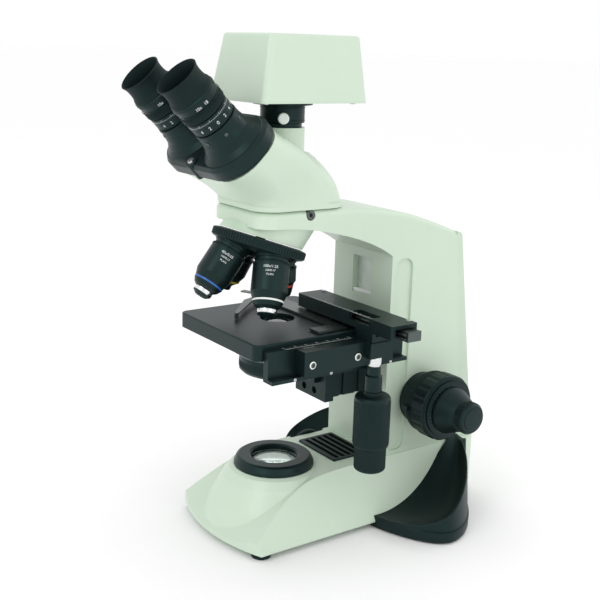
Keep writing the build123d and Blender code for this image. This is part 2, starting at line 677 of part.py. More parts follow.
def eye_tube(side):
    """Half of the flange, with its swelling, its tube and the sleeve bore."""
    lobe = SlotOverall(2 * (TUBE_OFFSET + LOBE_RADIUS), 2 * LOBE_RADIUS)
    half = extrude(Pos(0, 0, -FLANGE_HALF) * lobe, 2 * FLANGE_HALF - 3)
    upper = extrude(Pos(0, 0, FLANGE_HALF - 3) * lobe, 3, taper=35)
    half += upper
    tube = turned((0, 0), (25, 0), (25, FLANGE_HALF), (21.5, 9), (18.6, 14), (17.4, 20), (17, 26.4), (0, 26.4))
    half += Pos(TUBE_OFFSET, 0, 0) * tube
    half &= block(CLEAR / 2, 90, -40, 40, -30, 60)
    half -= Pos(TUBE_OFFSET, 0, 0) * disc(11.6 + FIT, -30, 60)
    half -= disc(5.0 + FIT, -20, 20, 0, -PIVOT_DOWN)
    relief = make_face(Polyline((-1, -PIVOT_DOWN), (1.8, -PIVOT_DOWN), (4.4, -40), (-1, -40), close=True))
    half -= extrude(relief, 30, both=True)
    half = half.solids().sort_by(SortBy.VOLUME)[-1]
    if side < 0:
        half = mirror(half, Plane.YZ)
    return FLANGE * half


def tube_part(side, shape):
    """Stands a part on the axis of one eyepiece tube."""
    return FLANGE * Pos(side * TUBE_OFFSET, 0, 0) * shape


def diopter_ring(side):
    return tube_part(side, turned((11.6 + FIT, 26.9), (16.3, 26.9), (16.8, 27.6), (16.8, 36.6), (16.3, 37.2),
                                  (11.6 + FIT, 37.2)))


def eyepiece(side):
    return tube_part(side, turned((9.5, 0), (11.6, 0), (11.6, 37.6), (16.2, 37.6), (17, 38.4), (17, 43.6), (16.6, 44),
                                  (17.6, 50.4), (17.6, 52.4), (16.9, 53), (13.2, 53), (13.2, 58), (12, 58),
                                  (12, 50), (9.5, 46)))


def eyecup(side):
    return tube_part(side, turned((13.2, 53), (16.7, 53), (15.8, 55.5), (14.4, 60), (14.3, 64), (15.2, 69.1),
                                  (14.0, 69.1), (13.0, 64), (12.6, 58), (13.2, 58)))


# ---------------------------------------------------------------- camera port and camera

def camera_adapter():
    return turned((12, 326), (15, 326), (15, 329), (17, 329.6), (17, 342), (23, 343), (23, BOX_BOTTOM), (12, BOX_BOTTOM))


ADAPTER_SCREW_TURN = 32.0


def adapter_screw():
    """The white clamp screw on the side of the adapter."""
    screw = turned((0, 17.05), (2, 17.05), (2, 20), (3.6, 20), (4, 20.6), (4, 25.4), (3.6, 26), (0, 26))
    return Pos(0, 0, 333.6) * Rot(0, 0, -ADAPTER_SCREW_TURN) * Rot(0, 90, 0) * screw


def camera_shape(inset, z0, z1):
    """The tapering outside of the camera box, or its inside when inset."""
    def level(z, extra):
        t = (z - BOX_BOTTOM) / (BOX_TOP - BOX_BOTTOM)
        width = 76.8 - 10.2 * t - 2 * extra
        front = -43.0 + 9.0 * t + extra
        rear = 52.0 - 5.0 * t - extra
        return Pos(0, (front + rear) / 2, z) * RectangleRounded(width, rear - front, 4.0)
    return loft([level(z0, inset), level(z1, inset)])


def camera_housing():
    shell = camera_shape(0, BOX_BOTTOM + 2, BOX_TOP)
    shell = fillet(shell.edges().group_by(Axis.Z)[-1], 2.5)
    shell -= camera_shape(2.2, BOX_BOTTOM, BOX_TOP - 2.4)
    return shell


def camera_floor():
    plate = camera_shape(0, BOX_BOTTOM, BOX_BOTTOM + 2)
    return plate - disc(12, 300, 400)


def camera_board():
    board = block(-30, 30, -30, 38, 362, 363.6)
    for x in (-26, 26):
        for y in (-26, 34):
            board += disc(2.4, BOX_BOTTOM + 2, 362, x, y)
    board += block(-9, 9, -9, 9, 359, 362)
    board += block(-22, -4, 14, 32, 363.6, 367)
    return board


# ---------------------------------------------------------------- the whole

def all_parts():
    parts = {
        "base_casting": base_casting(),
        "bottom_plate": bottom_plate(),
        "rubber_feet": rubber_feet(),
        "side_pods": side_pods(),
        "vent_grille": vent_grille(),
        "field_lens_collar": field_lens_collar(),
        "field_lens": field_lens(),
        "lamp_optics": lamp_optics(),
        "lamp_holder": lamp_holder(),
        "lamp_bulb": lamp_bulb(),
        "power_inlet": power_inlet(),
        "power_switch": power_switch(),
        "intensity_wheel": intensity_wheel(),
        "limb_casting": limb_casting(),
        "rear_cover": rear_cover(),
        "focus_bushings": focus_bushings(),
        "tension_ring": tension_ring(),
        "focus_guide": focus_guide(),
        "coarse_shaft": coarse_shaft(),
        "coarse_knobs": coarse_knobs(),
        "fine_knobs": fine_knobs(),
        "focus_slide": focus_slide(),
        "stage_bracket": stage_bracket(),
        "bracket_screws": bracket_screws(),
        "stage_plate": stage_plate(),
        "stage_rail": stage_rail(),
        "y_carriage": y_carriage(),
        "x_guide": x_guide(),
        "slide_holder": slide_holder(),
        "holder_finger": holder_finger(),
        "stage_y_knob": stage_y_knob(),
        "stage_x_knob": stage_x_knob(),
        "condenser_carrier": condenser_carrier(),
        "condenser_body": condenser_body(),
        "condenser_lens": condenser_lens(),
        "iris_ring": iris_ring(),
        "condenser_knob": condenser_knob(),
        "nosepiece_mount": nosepiece_mount(),
        "nosepiece_disc": nosepiece_disc(),
        "head_body": head_body(),
        "head_lock_screw": head_lock_screw(),
        "beam_prism": beam_prism(),
        "flange_plate": flange_plate(),
        "camera_adapter": camera_adapter(),
        "adapter_screw": adapter_screw(),
        "camera_housing": camera_housing(),
        "camera_floor": camera_floor(),
        "camera_board": camera_board(),
    }
    for name in OBJECTIVES:
        parts[name] = objective(name)
    for word, side in (("left", -1), ("right", 1)):
        parts[f"eye_tube_{word}"] = eye_tube(side)
        parts[f"diopter_ring_{word}"] = diopter_ring(side)
        parts[f"eyepiece_{word}"] = eyepiece(side)
        parts[f"eyecup_{word}"] = eyecup(side)
    return parts


def main():
    os.makedirs("parts", exist_ok=True)
    for name, shape in all_parts().items():
        export_step(Pos(0, AXIS_Y, 0) * shape, f"parts/{name}.step")


main()
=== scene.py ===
# %% [markdown]
# A laboratory microscope: a cast stand, a mechanical stage, four objectives on a turret,
# two eyepiece tubes and a camera box. The CAD model fixes every size and every moving axis.
# This script dresses it: finishes for each casting, and the fine pieces that a drawing
# leaves out, such as knurling, graduations, coloured rings and glass.
# Lengths are metres, +Z is up, and the user sits on the -Y side.

# %% Load the frame
import bpy, bmesh, json, math
from mathutils import Matrix, Vector


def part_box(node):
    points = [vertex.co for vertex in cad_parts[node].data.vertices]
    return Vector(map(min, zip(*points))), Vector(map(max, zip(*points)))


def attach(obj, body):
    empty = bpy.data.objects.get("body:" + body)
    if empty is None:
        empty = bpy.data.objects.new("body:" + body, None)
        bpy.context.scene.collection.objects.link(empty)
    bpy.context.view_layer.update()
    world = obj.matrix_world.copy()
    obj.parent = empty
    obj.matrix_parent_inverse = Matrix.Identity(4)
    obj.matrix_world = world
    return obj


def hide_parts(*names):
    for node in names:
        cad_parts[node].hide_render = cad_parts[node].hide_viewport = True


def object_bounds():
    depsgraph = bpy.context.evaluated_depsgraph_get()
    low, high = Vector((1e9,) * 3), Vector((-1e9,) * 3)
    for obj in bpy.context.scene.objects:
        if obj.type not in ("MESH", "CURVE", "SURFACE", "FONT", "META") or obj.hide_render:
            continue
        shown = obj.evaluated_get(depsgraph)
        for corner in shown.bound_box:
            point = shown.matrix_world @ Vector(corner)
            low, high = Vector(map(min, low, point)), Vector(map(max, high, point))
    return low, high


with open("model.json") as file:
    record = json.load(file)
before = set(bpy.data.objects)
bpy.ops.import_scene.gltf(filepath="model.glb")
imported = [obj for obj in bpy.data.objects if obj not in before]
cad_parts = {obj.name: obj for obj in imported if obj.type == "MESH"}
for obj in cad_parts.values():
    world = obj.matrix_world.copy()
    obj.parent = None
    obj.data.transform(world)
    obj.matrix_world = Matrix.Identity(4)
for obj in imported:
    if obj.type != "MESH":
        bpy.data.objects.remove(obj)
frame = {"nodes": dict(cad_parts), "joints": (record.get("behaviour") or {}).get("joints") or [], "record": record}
start_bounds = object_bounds()
MM = 0.001
joints = {j["name"]: j for j in frame["joints"]}
slot_of = {s["node"]: s["material_slot"] for s in frame["record"]["subparts"]}
print("object size", [round(v, 3) for v in start_bounds[1] - start_bounds[0]])

# %% [markdown]
# Most round pieces here are turned on a lathe in real life, so the helpers work the same way:
# an outline of radius and height is spun about an axis taken from the model's own joints.
# A piece is built in its own frame and then its points are put in place, so the object
# itself stays at the origin and can follow the body that it belongs to.

# %% Helpers for places and meshes


def placed(origin, axis, turn=0.0):
    """A matrix whose Z runs along the axis and whose X stays level."""
    z = Vector(axis).normalized()
    level = Vector((1, 0, 0)) if abs(z.x) < 0.99 else Vector((0, 1, 0))
    x = (level - z * level.dot(z)).normalized()
    basis = Matrix((x, z.cross(x), z)).transposed().to_4x4()
    return Matrix.Translation(Vector(origin)) @ basis @ Matrix.Rotation(math.radians(turn), 4, "Z")


def at_joint(name, turn=0.0):
    joint = joints[name]
    return placed(joint["pos_m"], joint["axis"], turn)


def span(node, place):
    """Lowest and highest reach of a CAD node along the Z of a place."""
    back = place.inverted()
    heights = [(back @ v.co).z for v in frame["nodes"][node].data.vertices]
    return min(heights), max(heights)


def keep(name, mesh, body, place=None, smooth=35):
    """Makes the object of a finished mesh and lets it ride on its body."""
    if place is not None:
        mesh.transform(place)
    piece = bpy.data.objects.new(name, mesh)
    bpy.context.scene.collection.objects.link(piece)
    if smooth:
        mesh.shade_smooth()
        mesh.set_sharp_from_angle(angle=math.radians(smooth))
    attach(piece, body)
    return piece


def from_bmesh(name, shape, material):
    bmesh.ops.recalc_face_normals(shape, faces=shape.faces)
    mesh = bpy.data.meshes.new(name)
    shape.to_mesh(mesh)
    shape.free()
    mesh.materials.append(material)
    return mesh


def lathe(name, outline, material, segments=96, closed=True):
    """Spins an outline of (radius, height) in millimetres about Z."""
    shape = bmesh.new()
    rings = []
    for radius, height in outline:
        if radius < 1e-6:
            rings.append([shape.verts.new((0, 0, height * MM))])
            continue
        ring = []
        for i in range(segments):
            angle = 2 * math.pi * i / segments
            x, y = radius * MM * math.cos(angle), radius * MM * math.sin(angle)
            ring.append(shape.verts.new((x, y, height * MM)))
        rings.append(ring)
    pairs = list(zip(rings, rings[1:]))
    if closed and len(rings[0]) > 1 and len(rings[-1]) > 1:
        pairs.append((rings[-1], rings[0]))
    for lower, upper in pairs:
        for i in range(segments):
            j = (i + 1) % segments
            corners = [lower[i % len(lower)], lower[j % len(lower)]]
            corners += [upper[j % len(upper)], upper[i % len(upper)]]
            distinct = list(dict.fromkeys(corners))
            if len(distinct) > 2:
                shape.faces.new(distinct)
    return from_bmesh(name, shape, material)


def softened(points, steps=3):
    """Rounds the corners of an open outline by cutting them again and again."""
    for _ in range(steps):
        cut = [points[0]]
        for a, b in zip(points, points[1:]):
            cut.append(tuple(0.75 * p + 0.25 * q for p, q in zip(a, b)))
            cut.append(tuple(0.25 * p + 0.75 * q for p, q in zip(a, b)))
        points = cut + [points[-1]]
    return points


def slab(name, low, high, material, bevel=0.3):
    """A rounded block between two corners, in metres."""
    shape = bmesh.new()
    bmesh.ops.create_cube(shape, size=1)
    size = Vector(high) - Vector(low)
    centre = (Vector(high) + Vector(low)) / 2
    for vert in shape.verts:
        vert.co = Vector((vert.co.x * size.x, vert.co.y * size.y, vert.co.z * size.z)) + centre
    bmesh.ops.bevel(shape, geom=shape.edges, offset=bevel * MM, segments=3, profile=0.5, affect="EDGES")
    return from_bmesh(name, shape, material)


def screw_head(name, radius, height, material, socket=0.45):
    """A cap screw with a hexagon socket, its head standing on z = 0."""
    shape = bmesh.new()
    rounds = [(radius, 0), (radius, height * 0.75), (radius * 0.9, height)]
    turns = [math.pi * i / 12 for i in range(24)]
    rings = [[shape.verts.new((r * MM * math.cos(a), r * MM * math.sin(a), z * MM)) for a in turns]
             for r, z in rounds]
    hexagon = []
    for z in (height, height * 0.4):
        ring = []
        for angle in turns:
            reach = socket * radius * math.cos(math.pi / 6) / math.cos((angle % (math.pi / 3)) - math.pi / 6)
            x, y = reach * MM * math.cos(angle), reach * MM * math.sin(angle)
            ring.append(shape.verts.new((x, y, z * MM)))
        hexagon.append(ring)
    rings += hexagon
    for lower, upper in zip(rings, rings[1:]):
        for i in range(24):
            j = (i + 1) % 24
            shape.faces.new((lower[i], lower[j], upper[j], upper[i]))
    shape.faces.new(rings[-1])
    shape.faces.new(list(reversed(rings[0])))
    return from_bmesh(name, shape, material)


# %% [markdown]
# The stand is cast aluminium under a thick satin enamel, which dries with a faint orange
# peel. Black parts are anodised or moulded with a fine texture. Each finish is one shader
# with the same three ideas: a slow drift of colour, a fine grain for the bump, and a
# patchy roughness, so that no surface is a single flat value.

# %% Materials
TEAL = (0.55, 0.95, 0.92, 1)


def surface(name, colour, roughness, metallic=0.0, drift=0.06, grain=600.0, relief=0.05, patch=0.12,
            stretch=None, coat=0.0, shine=0.5):
    material = bpy.data.materials.new(name)
    material.use_nodes = True
    nodes, links = material.node_tree.nodes, material.node_tree.links
    shader = nodes["Principled BSDF"]
    where = nodes.new("ShaderNodeTexCoord")
    along = where.outputs["Object"]
    if stretch:
        mapping = nodes.new("ShaderNodeMapping")
        mapping.inputs["Scale"].default_value = stretch
        links.new(along, mapping.inputs["Vector"])
        along = mapping.outputs["Vector"]
    cloud = nodes.new("ShaderNodeTexNoise")
    cloud.inputs["Scale"].default_value = 22.0
    cloud.inputs["Detail"].default_value = 4.0
    links.new(where.outputs["Object"], cloud.inputs["Vector"])
    tint = nodes.new("ShaderNodeValToRGB")
    tint.color_ramp.elements[0].position = 0.3
    tint.color_ramp.elements[1].position = 0.7
    tint.color_ramp.elements[0].color = (*[c * (1 - drift) for c in colour], 1)
    tint.color_ramp.elements[1].color = (*[min(1.0, c * (1 + drift)) for c in colour], 1)
    links.new(cloud.outputs["Fac"], tint.inputs["Fac"])
    links.new(tint.outputs["Color"], shader.inputs["Base Color"])
    fine = nodes.new("ShaderNodeTexNoise")
    fine.inputs["Scale"].default_value = grain
    fine.inputs["Detail"].default_value = 3.0
    links.new(along, fine.inputs["Vector"])
    bump = nodes.new("ShaderNodeBump")
    bump.inputs["Strength"].default_value = relief
    bump.inputs["Distance"].default_value = 0.0004
    links.new(fine.outputs["Fac"], bump.inputs["Height"])
    links.new(bump.outputs["Normal"], shader.inputs["Normal"])
    sheen = nodes.new("ShaderNodeMapRange")
    sheen.inputs["To Min"].default_value = max(0.02, roughness * (1 - patch))
    sheen.inputs["To Max"].default_value = min(1.0, roughness * (1 + patch))
    links.new(fine.outputs["Fac"], sheen.inputs["Value"])
    links.new(sheen.outputs["Result"], shader.inputs["Roughness"])
    shader.inputs["Metallic"].default_value = metallic
    shader.inputs["Coat Weight"].default_value = coat
    shader.inputs["Specular IOR Level"].default_value = shine
    if shine < 0.5:
        shader.inputs["Specular Tint"].default_value = TEAL
    shader.inputs["Coat Roughness"].default_value = 0.15
    return material


def glass(name, colour, roughness=0.03, ior=1.5, weight=1.0):
    material = surface(name, colour, roughness, drift=0.02, relief=0.0, patch=0.3)
    shader = material.node_tree.nodes["Principled BSDF"]
    shader.inputs["Transmission Weight"].default_value = weight
    shader.inputs["IOR"].default_value = ior
    shader.inputs["Coat Weight"].default_value = 0.6
    shader.inputs["Coat Tint"].default_value = (0.95, 1.0, 0.98, 1)
    return material


ENAMEL = (0.57, 0.69, 0.56)
BLACK = (0.0045, 0.0095, 0.0095)
finish = {
    "white_paint": surface("white_enamel", ENAMEL, 0.36, drift=0.015, grain=900, relief=0.05, coat=0.12),
    "cover_plastic": surface("cover_plastic", [0.97 * c for c in ENAMEL], 0.45, drift=0.015, grain=1500,
                             relief=0.08),
    "black_paint": surface("black_enamel", BLACK, 0.38, drift=0.2, grain=1800, relief=0.10, shine=0.32),
    "black_plastic": surface("black_plastic", BLACK, 0.44, drift=0.2, grain=2400, relief=0.15, shine=0.30),
    "rubber": surface("rubber", (0.004, 0.008, 0.008), 0.62, drift=0.2, grain=2600, relief=0.12, shine=0.28),
    "steel": surface("ground_steel", (0.55, 0.57, 0.56), 0.28, metallic=1.0, grain=300, relief=0.06,
                     stretch=(1, 1, 20)),
    "dark_steel": surface("oxidised_steel", (0.10, 0.12, 0.115), 0.36, metallic=1.0, drift=0.2, grain=900,
                          relief=0.08),
    "glass": glass("lens_glass", (0.97, 0.99, 0.98)),
    "board": surface("circuit_board", (0.02, 0.16, 0.06), 0.3, drift=0.25, grain=700, relief=0.1),
    "white_plastic": surface("white_plastic", (0.82, 0.85, 0.82), 0.3, drift=0.03, grain=1200, relief=0.04,
                             coat=0.3),
}
ink = surface("white_ink", (0.72, 0.76, 0.74), 0.5, drift=0.05, grain=2000, relief=0.03)
chrome = surface("chrome", (0.80, 0.81, 0.82), 0.10, metallic=1.0, drift=0.03, grain=200, relief=0.01)
bright = surface("turned_aluminium", (0.72, 0.74, 0.73), 0.24, metallic=1.0, grain=400, stretch=(1, 1, 30),
                 relief=0.05)
blue_ring = surface("blue_ring", (0.02, 0.12, 0.42), 0.35, drift=0.08, grain=900, relief=0.03)
yellow_ring = surface("yellow_ring", (0.65, 0.50, 0.05), 0.35, drift=0.08, grain=900, relief=0.03)
red_ring = surface("red_ring", (0.50, 0.03, 0.02), 0.35, drift=0.08, grain=900, relief=0.03)
# Painted shade: a matt near-black for the sheets that stand in for the shadow inside the vents and in the lock
# screw's slot.
painted_shade = surface("painted_shade_black", (0.004, 0.005, 0.005), 0.8, drift=0.2, grain=900, relief=0.1)
for node, thing in frame["nodes"].items():
    thing.data.materials.clear()
    thing.data.materials.append(finish[slot_of[node]])
print(len(finish), "finishes on", len(frame["nodes"]), "nodes")

# %% [markdown]
# Knurling, ribs and graduations repeat round a ring or along a line. On the real parts
# they are rolled, moulded or engraved by an indexing head. Here one geometry-nodes group
# does the indexing: it puts a bar at each step of a ring, and another does so along a rule.
# Each group ends by making its copies real, so the result is an ordinary mesh.

# %% Groups that repeat a bar round a ring or along a rule


def new_group(name, inputs):
    group = bpy.data.node_groups.new(name, "GeometryNodeTree")
    for label, kind, value in inputs:
        socket = group.interface.new_socket(label, in_out="INPUT", socket_type=kind)
        if value is not None:
            socket.default_value = value
    group.interface.new_socket("Geometry", in_out="OUTPUT", socket_type="NodeSocketGeometry")
    return group, group.nodes.new("NodeGroupInput"), group.nodes.new("NodeGroupOutput")


def chosen_length(group, source):
    """Long for every so-many-th copy, and short for the others."""
    index = group.nodes.new("GeometryNodeInputIndex")
    modulo = group.nodes.new("ShaderNodeMath")
    modulo.operation = "MODULO"
    group.links.new(index.outputs[0], modulo.inputs[0])
    group.links.new(source.outputs["Every"], modulo.inputs[1])
    first = group.nodes.new("FunctionNodeCompare")
    first.operation = "LESS_THAN"
    first.inputs["B"].default_value = 0.5
    group.links.new(modulo.outputs[0], first.inputs["A"])
    pick = group.nodes.new("GeometryNodeSwitch")
    pick.input_type = "FLOAT"
    group.links.new(first.outputs["Result"], pick.inputs["Switch"])
    group.links.new(source.outputs["Short"], pick.inputs["False"])
    group.links.new(source.outputs["Long"], pick.inputs["True"])
    return pick.outputs["Output"]


def finish_group(group, source, points, bar, scale, rotation, output):
    """Copies the bar on to the points, makes the copies real and paints them."""
    copies = group.nodes.new("GeometryNodeInstanceOnPoints")
    real = group.nodes.new("GeometryNodeRealizeInstances")
    paint = group.nodes.new("GeometryNodeSetMaterial")
    group.links.new(points, copies.inputs["Points"])
    group.links.new(bar, copies.inputs["Instance"])
    group.links.new(scale, copies.inputs["Scale"])
    if rotation is not None:
        group.links.new(rotation, copies.inputs["Rotation"])
    group.links.new(copies.outputs["Instances"], real.inputs["Geometry"])
    group.links.new(real.outputs["Geometry"], paint.inputs["Geometry"])
    group.links.new(source.outputs["Material"], paint.inputs["Material"])
    group.links.new(paint.outputs["Geometry"], output.inputs["Geometry"])


def unit_bar(group, source, lift):
    """A bar one metre long that the scale then cuts to length."""
    cube = group.nodes.new("GeometryNodeMeshCube")
    size = group.nodes.new("ShaderNodeCombineXYZ")
    size.inputs[0 if lift == 1 else 2].default_value = 1.0
    shift = group.nodes.new("GeometryNodeTransform")
    shift.inputs["Translation"].default_value = (0, 0.5, 0) if lift == 1 else (0, 0, 0.5)
    if lift == 1:
        group.links.new(source.outputs["Width"], size.inputs[0])
        size.inputs[1].default_value = 1.0
        group.links.new(source.outputs["Thickness"], size.inputs[2])
    else:
        group.links.new(source.outputs["Thickness"], size.inputs[0])
        group.links.new(source.outputs["Width"], size.inputs[1])
    group.links.new(size.outputs[0], cube.inputs["Size"])
    group.links.new(cube.outputs["Mesh"], shift.inputs["Geometry"])
    return shift.outputs["Geometry"]


BAR_INPUTS = [("Count", "NodeSocketInt", 10), ("Width", "NodeSocketFloat", 0.001),
              ("Thickness", "NodeSocketFloat", 0.001), ("Short", "NodeSocketFloat", 0.001),
              ("Long", "NodeSocketFloat", 0.001), ("Every", "NodeSocketFloat", 1.0)]


def dial_group():
    """Bars that stand round a ring, their length along the ring's axis."""
    group, source, output = new_group("dial", BAR_INPUTS + [("Radius", "NodeSocketFloat", 0.01),
                                                            ("Material", "NodeSocketMaterial", None)])
    circle = group.nodes.new("GeometryNodeMeshCircle")
    group.links.new(source.outputs["Count"], circle.inputs["Vertices"])
    group.links.new(source.outputs["Radius"], circle.inputs["Radius"])
    here = group.nodes.new("GeometryNodeInputPosition")
    align = group.nodes.new("FunctionNodeAlignRotationToVector")
    align.axis = "X"
    group.links.new(here.outputs[0], align.inputs["Vector"])
    scale = group.nodes.new("ShaderNodeCombineXYZ")
    scale.inputs[0].default_value = 1.0
    scale.inputs[1].default_value = 1.0
    group.links.new(chosen_length(group, source), scale.inputs[2])
    finish_group(group, source, circle.outputs["Mesh"], unit_bar(group, source, 2), scale.outputs[0],
                 align.outputs["Rotation"], output)
    return group


def rule_group():
    """Bars in a line along X, their length along Y."""
    group, source, output = new_group("rule", BAR_INPUTS + [("Step", "NodeSocketFloat", 0.001),
                                                            ("Material", "NodeSocketMaterial", None)])
    line = group.nodes.new("GeometryNodeMeshLine")
    step = group.nodes.new("ShaderNodeCombineXYZ")
    group.links.new(source.outputs["Step"], step.inputs[0])
    group.links.new(source.outputs["Count"], line.inputs["Count"])
    group.links.new(step.outputs[0], line.inputs["Offset"])
    scale = group.nodes.new("ShaderNodeCombineXYZ")
    scale.inputs[0].default_value = 1.0
    scale.inputs[2].default_value = 1.0
    group.links.new(chosen_length(group, source), scale.inputs[1])
    finish_group(group, source, line.outputs["Mesh"], unit_bar(group, source, 1), scale.outputs[0], None,
                 output)
    return group


def crown_group():
    """Round ribs that stand side by side round a ring, as on a moulded grip."""
    group, source, output = new_group("crown", [("Count", "NodeSocketInt", 60),
                                                ("Radius", "NodeSocketFloat", 0.01),
                                                ("Rib", "NodeSocketFloat", 0.0005),
                                                ("Length", "NodeSocketFloat", 0.01),
                                                ("Material", "NodeSocketMaterial", None)])
    circle = group.nodes.new("GeometryNodeMeshCircle")
    group.links.new(source.outputs["Count"], circle.inputs["Vertices"])
    group.links.new(source.outputs["Radius"], circle.inputs["Radius"])
    rib = group.nodes.new("GeometryNodeMeshCylinder")
    rib.inputs["Vertices"].default_value = 10
    group.links.new(source.outputs["Rib"], rib.inputs["Radius"])
    group.links.new(source.outputs["Length"], rib.inputs["Depth"])
    whole = group.nodes.new("ShaderNodeCombineXYZ")
    for axis in range(3):
        whole.inputs[axis].default_value = 1.0
    finish_group(group, source, circle.outputs["Mesh"], rib.outputs["Mesh"], whole.outputs[0], None, output)
    return group


DIAL, RULE, CROWN = dial_group(), rule_group(), crown_group()


def grown(name, group, values, place, body, smooth=40):
    """Runs a group with these inputs and keeps its result as a plain mesh."""
    seed = bpy.data.objects.new(name + "_seed", bpy.data.meshes.new(name + "_seed"))
    bpy.context.scene.collection.objects.link(seed)
    modifier = seed.modifiers.new("repeat", "NODES")
    modifier.node_group = group
    sockets = {s.name: s.identifier for s in group.interface.items_tree if s.in_out == "INPUT"}
    for label, value in values.items():
        modifier[sockets[label]] = value
    graph = bpy.context.evaluated_depsgraph_get()
    mesh = bpy.data.meshes.new_from_object(seed.evaluated_get(graph))
    bpy.data.objects.remove(seed)
    mesh.name = name
    return keep(name, mesh, body, place, smooth)


def dial(name, count, radius, width, thick, short, material, place, body, long=None, every=1):
    values = {"Count": count, "Radius": radius * MM, "Width": width * MM, "Thickness": thick * MM,
              "Short": short * MM, "Long": (long or short) * MM, "Every": float(every), "Material": material}
    return grown(name, DIAL, values, place, body, smooth=0)


def rule(name, count, step, width, short, long, every, material, place, body, thick=0.12):
    values = {"Count": count, "Step": step * MM, "Width": width * MM, "Thickness": thick * MM,
              "Short": short * MM, "Long": long * MM, "Every": float(every), "Material": material}
    return grown(name, RULE, values, place, body, smooth=0)


def crown(name, count, radius, rib, length, material, place, body):
    values = {"Count": count, "Radius": radius * MM, "Rib": rib * MM, "Length": length * MM,
              "Material": material}
    return grown(name, CROWN, values, place, body)


def lettering(name, text, size, material, place, body, radius=None):
    """Engraved figures: flat on a plane, or wrapped round a barrel of that radius."""
    curve = bpy.data.curves.new(name, "FONT")
    curve.body = text
    curve.size = size * MM
    curve.extrude = 0.04 * MM
    curve.align_x = "CENTER"
    curve.align_y = "CENTER"
    source = bpy.data.objects.new(name + "_seed", curve)
    bpy.context.scene.collection.objects.link(source)
    graph = bpy.context.evaluated_depsgraph_get()
    mesh = bpy.data.meshes.new_from_object(source.evaluated_get(graph))
    bpy.data.objects.remove(source)
    mesh.materials.clear()
    mesh.materials.append(material)
    if radius:
        for vert in mesh.vertices:
            angle = vert.co.x / (radius * MM)
            reach = radius * MM + vert.co.z
            vert.co = Vector((reach * math.cos(angle), reach * math.sin(angle), vert.co.y))
    return keep(name, mesh, body, place, smooth=0)


print("groups:", DIAL.name, RULE.name, CROWN.name)

# %% [markdown]
# The two wings beside the column foot are moulded covers in textured black plastic. Each is
# a hollow sweep: a flat rim stands on the table side, and the face curves up and inwards to
# the column. It is built as a run of closed cross-sections, one for each step along the rim.

# %% Side wings
RIM_HEIGHT = 11.0
pods_low, pods_high = (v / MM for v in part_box("side_pods"))
base_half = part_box("base_casting")[1].x / MM
column_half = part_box("limb_casting")[1].x / MM
PEAK = 0.345              # where along its length the wing is widest


def wing_reach(u):
    """How far out the rim is, from 0 at the ends to 1 at the widest place."""
    if u < PEAK:
        return (1 - (1 - u / PEAK) ** 2) ** 0.8
    return max(0.0, 1 - ((u - PEAK) / 0.6) ** 1.8)


def wall_height(u):
    """The outer wall rises smoothly from the rim in front to the crown behind."""
    t = min(1.0, u / 0.88)
    return RIM_HEIGHT + (pods_high.z - 0.6 - RIM_HEIGHT) * t * t * (3 - 2 * t)


def wing_section(u, side):
    """One closed cross-section from the underside, over the wall and up to the crown."""
    y = pods_low.y + (pods_high.y - pods_low.y - 0.5) * u
    inner = base_half - 3.5
    out = inner + (pods_high.x - inner) * wing_reach(u)
    crown_x, crown_y, crown_z = column_half + 3.0, pods_high.y - 13 + 12 * u, pods_high.z - 0.4
    low, high = pods_low.z, wall_height(u)
    ledge = min(1.6, 0.2 + (high - RIM_HEIGHT) * 0.3)
    lean = 0.10 * (high - RIM_HEIGHT)
    step_x, shelf = min(base_half + 0.3, out - 1.5), low + 4.8
    points = [(column_half + 1, y, shelf), (step_x, y, shelf), (step_x, y, low), (out - 1.2, y, low)]
    points += [(out - 0.2, y, low + 1.2), (out, y, RIM_HEIGHT - 2.0)]
    points += [(out - 0.5, y, RIM_HEIGHT - 1.0), (out - ledge, y, RIM_HEIGHT - 0.7)]
    for step in (0.25, 0.5, 0.75, 1.0):
        points.append((out - ledge - lean * step, y, RIM_HEIGHT + (high - 0.8 - RIM_HEIGHT) * step))
    rim_x = out - ledge - lean - 1.0
    dip = 11 * math.sin(math.pi * min(1.0, u / 0.9)) + 1.0
    steps = 26
    for i in range(steps + 1):
        v = i / steps
        z = high + (crown_z - high) * v ** 1.9 - dip * math.sin(math.pi * v ** 0.8)
        points.append((rim_x + (crown_x - rim_x) * v, y + (crown_y - y) * v, max(z, low + 3)))
    points += [(crown_x - 1.4, crown_y, pods_high.z), (column_half + 0.1, crown_y, pods_high.z)]
    points += [(column_half + 0.1, crown_y, crown_z - 6)]
    return [(side * x * MM, yy * MM, z * MM) for x, yy, z in points]


def side_wings():
    shape = bmesh.new()
    for side in (-1, 1):
        sections = [[shape.verts.new(p) for p in wing_section(i / 72, side)] for i in range(73)]
        for a, b in zip(sections, sections[1:]):
            for i in range(len(a)):
                j = (i + 1) % len(a)
                shape.faces.new((a[i], a[j], b[j], b[i]))
        shape.faces.new(sections[0])
        shape.faces.new(sections[-1])
    return from_bmesh("side_wings", shape, finish["black_plastic"])


wings = keep("side_wings", side_wings(), "stand")
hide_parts("side_pods")
print("wings:", len(wings.data.polygons), "faces")

# %% [markdown]
# Each eyepiece slides into its tube. A knurled band turns it, the ring below carries the
# eyesight scale, and a soft rubber cup folds back for people who wear glasses. The cup is
# turned from its section, and the lens sits just below its rim.

